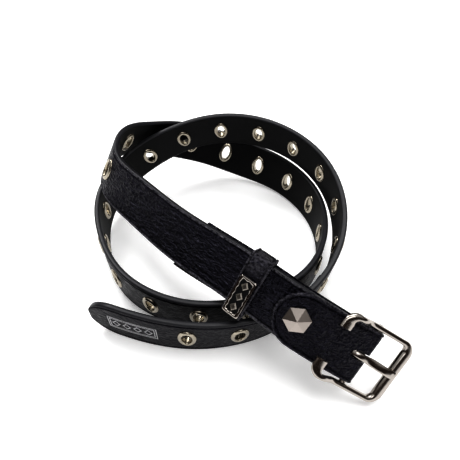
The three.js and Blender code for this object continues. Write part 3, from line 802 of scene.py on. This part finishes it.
def foil_outline(name, corners, inner):
    """A thin closed line of silver foil on the strap's face, between two outlines of one shape."""
    top = STRAP["thickness"] / 2 + FOIL["proud"]
    low = top - FOIL["depth"]
    corners, inner = np.array(corners, float), np.array(inner, float)
    levels = [(corners, top), (inner, top), (inner, low), (corners, low)]
    points = [belt_point(outline[:, 0], outline[:, 1], height) for outline, height in levels]
    faces = grid_faces(len(levels), len(corners), rows_join=True, columns_join=True)
    mesh_piece(name, np.concatenate(points), faces, [PRINT], "belt", slot="buckle_nickel", sharp=20)


def foil_rectangle(inset, half):
    """Points round a rectangle of the foil, that much in from each end of the outer one."""
    row = np.linspace(FOIL["start"] + inset, FOIL["end"] - inset, FOIL["points"])
    return [(place, half) for place in row] + [(place, -half) for place in row[::-1]]


def silver_print():
    """A plain frame with a row of four lozenges in silver foil on the strap's face, near its tip."""
    line = FOIL["line"]
    for name, half in (("foil_frame", FOIL["half"]), ("foil_inner_frame", FOIL["inner_half"])):
        inset = FOIL["half"] - half
        foil_outline(name, foil_rectangle(inset, half), foil_rectangle(inset + line, half - line))
    corners = lozenge_corners(FOIL_LOZENGE)
    for index, place in enumerate(FOIL_LOZENGE["middles"]):
        middle = (place, 0)
        foil_outline(f"foil_lozenge_{index + 1}", corners + middle, corners * FOIL_LOZENGE["hollow"] + middle)


# How each leather is worn and where a painted highlight lies: the grain's depth and the paler colour,
# partly rubbed wear and partly painted highlight, as shares, and where they start and end in millimetres,
# from an edge or, for the strap's grain, from the bar's end of the route; the keeper's turned share is
# painted highlight only
STRAP_WEAR_AND_HIGHLIGHT = dict(grain=0.15, deeper=0.75, deeper_from=360, deeper_to=300, rubbed_and_highlight=0.15, more_rubbed_and_highlight=0.85,
                  rim_from=1.3, rim_to=2.0, face=0.9)
KEEPER_WEAR_AND_HIGHLIGHT = dict(grain=0.6, rim_from=0.5, rim_to=1.1, rim=0.6, highlight_from=5, highlight_to=13, turned=0.4)
FOLD_WEAR_AND_HIGHLIGHT = dict(grain=1.0, rim_from=0.7, rim_to=1.3, rim=0.45, face=3)


def strap_wear_and_highlight(obj):
    """The grain is deep where the strap crosses the coil, and its face is paler along both edges: partly
    rubbed wear, partly a painted highlight, most where it crosses the coil.
    """
    wear_and_highlight = STRAP_WEAR_AND_HIGHLIGHT
    place, across, height = belt_places(spots_of(obj))
    crossing = smoothstep(place, ROUTE_LENGTH - wear_and_highlight["deeper_from"], ROUTE_LENGTH - wear_and_highlight["deeper_to"])
    set_amount(obj, "grain", wear_and_highlight["grain"] + wear_and_highlight["deeper"] * crossing)
    inset = STRAP["width"] / 2 - np.abs(across)
    # Paler line along both edges of the face: partly rubbed wear, partly a painted highlight, strongest on
    # the crossing
    rim = (1 - smoothstep(inset, wear_and_highlight["rim_from"], wear_and_highlight["rim_to"])) * (height > wear_and_highlight["face"])
    set_amount(obj, "rubbed_and_highlight", rim * (wear_and_highlight["rubbed_and_highlight"] + wear_and_highlight["more_rubbed_and_highlight"] * crossing))


def keeper_wear_and_highlight(obj):
    """The keeper's finish is paler along its two edges, partly rubbed wear and partly a painted highlight,
    and paler where it turns over the strap's top edge, which is a painted highlight.
    """
    wear_and_highlight = KEEPER_WEAR_AND_HIGHLIGHT
    place, across, height = belt_places(spots_of(obj))
    beside = KEEPER["width"] / 2 - np.abs(place - (BAR_PLACE - KEEPER["from_bar"]))
    edge = 1 - smoothstep(beside, wear_and_highlight["rim_from"], wear_and_highlight["rim_to"])
    # The edge share is partly rubbed wear and partly a painted highlight; the turned share over the strap's
    # top edge is a painted highlight
    turned = smoothstep(across, wear_and_highlight["highlight_from"], wear_and_highlight["highlight_to"]) * (height > 0)
    set_amount(obj, "grain", wear_and_highlight["grain"])
    set_amount(obj, "rubbed_and_highlight", np.maximum(wear_and_highlight["rim"] * edge, wear_and_highlight["turned"] * turned))


def fold_wear_and_highlight(obj):
    """The fold's grain is deep all over, and its raised rim is paler: partly rubbed wear, partly a painted
    highlight.
    """
    wear_and_highlight, half = FOLD_WEAR_AND_HIGHLIGHT, FOLD["width"] / 2
    place, across, height = belt_places(spots_of(obj))
    nose = BAR_PLACE - FOLD["top"] + half
    inset = np.where(place < nose, half - np.hypot(across, place - nose), half - np.abs(across))
    # Paler raised rim: partly rubbed wear, partly a painted highlight
    rim = 1 - smoothstep(inset, wear_and_highlight["rim_from"], wear_and_highlight["rim_to"])
    set_amount(obj, "grain", wear_and_highlight["grain"])
    set_amount(obj, "rubbed_and_highlight", wear_and_highlight["rim"] * rim * (height > wear_and_highlight["face"]))


def stud_finish():
    """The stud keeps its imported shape, with its edges softened."""
    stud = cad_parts["hex_stud"]
    stud.data.materials.clear()
    stud.data.materials.append(STUD_NICKEL)
    soft = stud.modifiers.new("softened edges", "BEVEL")
    soft.width, soft.segments, soft.limit_method = STUD_BEVEL["width"] * MM, STUD_BEVEL["segments"], "ANGLE"


belt_strap = strap()
for eyelet_number in range(1, EYELET["count"] + 1):
    eyelet(eyelet_number)
fold = buckle_fold()
keeper = keeper_loop()
keeper_plate()
stud_finish()
buckle_frame()
prong()
silver_print()
strap_wear_and_highlight(belt_strap)
fold_wear_and_highlight(fold)
keeper_wear_and_highlight(keeper)


# Fitted to the photograph: how far it looks down and is rolled in degrees, the lens and the
# sensor's width in millimetres, and the camera's place in millimetres
CAMERA = dict(down=48.1, roll=3.27, lens=29.68, sensor=36, place=(-3.2, -164.6, 209.8))


def camera():
    """At the photograph's place and angle, about 0.27 m off."""
    down, roll = math.radians(CAMERA["down"]), math.radians(CAMERA["roll"])
    forward = Vector((0, math.cos(down), -math.sin(down)))
    level = Vector((1, 0, 0))
    up = Vector((0, math.sin(down), math.cos(down)))
    right = math.cos(roll) * level + math.sin(roll) * up
    top = -math.sin(roll) * level + math.cos(roll) * up
    data = bpy.data.cameras.new("camera")
    data.sensor_width = CAMERA["sensor"]
    data.lens = CAMERA["lens"]
    data.clip_start, data.clip_end = 0.01, 20
    obj = bpy.data.objects.new("camera", data)
    bpy.context.scene.collection.objects.link(obj)
    turned = Matrix((right, top, -forward)).transposed().to_4x4()
    obj.matrix_world = Matrix.Translation(Vector(CAMERA["place"]) * MM) @ turned
    bpy.context.scene.camera = obj


# The surface under the belt: half its width in metres, how far below it lies in millimetres, and how
# much light it gives off, which keeps it white
FLOOR = dict(half=3.0, below=0.05, glow=0.25)


def floor():
    """A plain pale surface, not part of the object."""
    corners = [(x * FLOOR["half"], y * FLOOR["half"], 0) for x, y in ((-1, -1), (1, -1), (1, 1), (-1, 1))]
    mesh = bpy.data.meshes.new("floor")
    mesh.from_pydata(corners, [], [(0, 1, 2, 3)])
    paper, shader, _ = plain_material("lit_white_paper", "#fafafa", 0.9)
    shader.inputs["Emission Color"].default_value = (1, 1, 1, 1)
    shader.inputs["Emission Strength"].default_value = FLOOR["glow"]
    mesh.materials.append(paper)
    obj = bpy.data.objects.new("floor", mesh)
    obj.location.z = -FLOOR["below"] * MM
    bpy.context.scene.collection.objects.link(obj)


# Soft lights: where each stands and what it faces, in metres, its size, and its power in watts
LIGHTS = [
    dict(name="back_left_softbox", at=(-0.5, 0.45, 0.8), to=(0, 0, 0.02), size=0.3, watts=5),
    dict(name="overhead_softbox", at=(0.15, 0.1, 1.1), to=(0, 0, 0.02), size=0.7, watts=8),
    dict(name="front_fill", at=(0.2, -0.9, 0.8), to=(0, 0, 0.02), size=0.5, watts=2),
]
# The room's brightness by height above the horizon, from 0 to 1 straight up
ROOM = [dict(height=0.0, light="#808080"), dict(height=0.1, light="#3c322e"),
        dict(height=0.32, light="#3a302b"), dict(height=0.5, light="#7d7671"),
        dict(height=0.64, light="#d4d4d4"), dict(height=1.0, light="#dcdcdc")]
# What is seen behind the surface's far edge
BACKDROP = "#ececec"
VIEW_GAMMA = 0.75


def room_light():
    """A pale backdrop, in a room with a darker band round it so that metal has something to reflect."""
    world = bpy.data.worlds.new("room")
    world.use_nodes = True
    tree = world.node_tree
    where = node(tree, "ShaderNodeTexCoord").outputs["Generated"]
    height = node(tree, "ShaderNodeSeparateXYZ", links={"Vector": where}).outputs["Z"]
    ramp = node(tree, "ShaderNodeValToRGB", links={"Fac": height})
    steps = ramp.color_ramp.elements
    for index, row in enumerate(ROOM):
        step = steps[index] if index < 2 else steps.new(row["height"])
        step.position = row["height"]
        step.color = linear(row["light"])
    seen = node(tree, "ShaderNodeLightPath").outputs["Is Camera Ray"]
    colour = node(tree, "ShaderNodeMix", {"data_type": "RGBA", 7: linear(BACKDROP)},
                  {0: seen, 6: ramp.outputs["Color"]})
    tree.links.new(colour.outputs[2], tree.nodes["Background"].inputs["Color"])
    bpy.context.scene.world = world


def lights():
    for row in LIGHTS:
        data = bpy.data.lights.new(row["name"], "AREA")
        data.size = row["size"]
        data.energy = row["watts"]
        obj = bpy.data.objects.new(row["name"], data)
        obj.location = row["at"]
        facing = Vector(row["to"]) - Vector(row["at"])
        obj.rotation_euler = facing.to_track_quat("-Z", "Y").to_euler()
        bpy.context.scene.collection.objects.link(obj)


camera()
floor()
lights()
room_light()
scene = bpy.context.scene
scene.view_settings.view_transform = "Standard"
scene.view_settings.look = "None"
scene.view_settings.gamma = VIEW_GAMMA
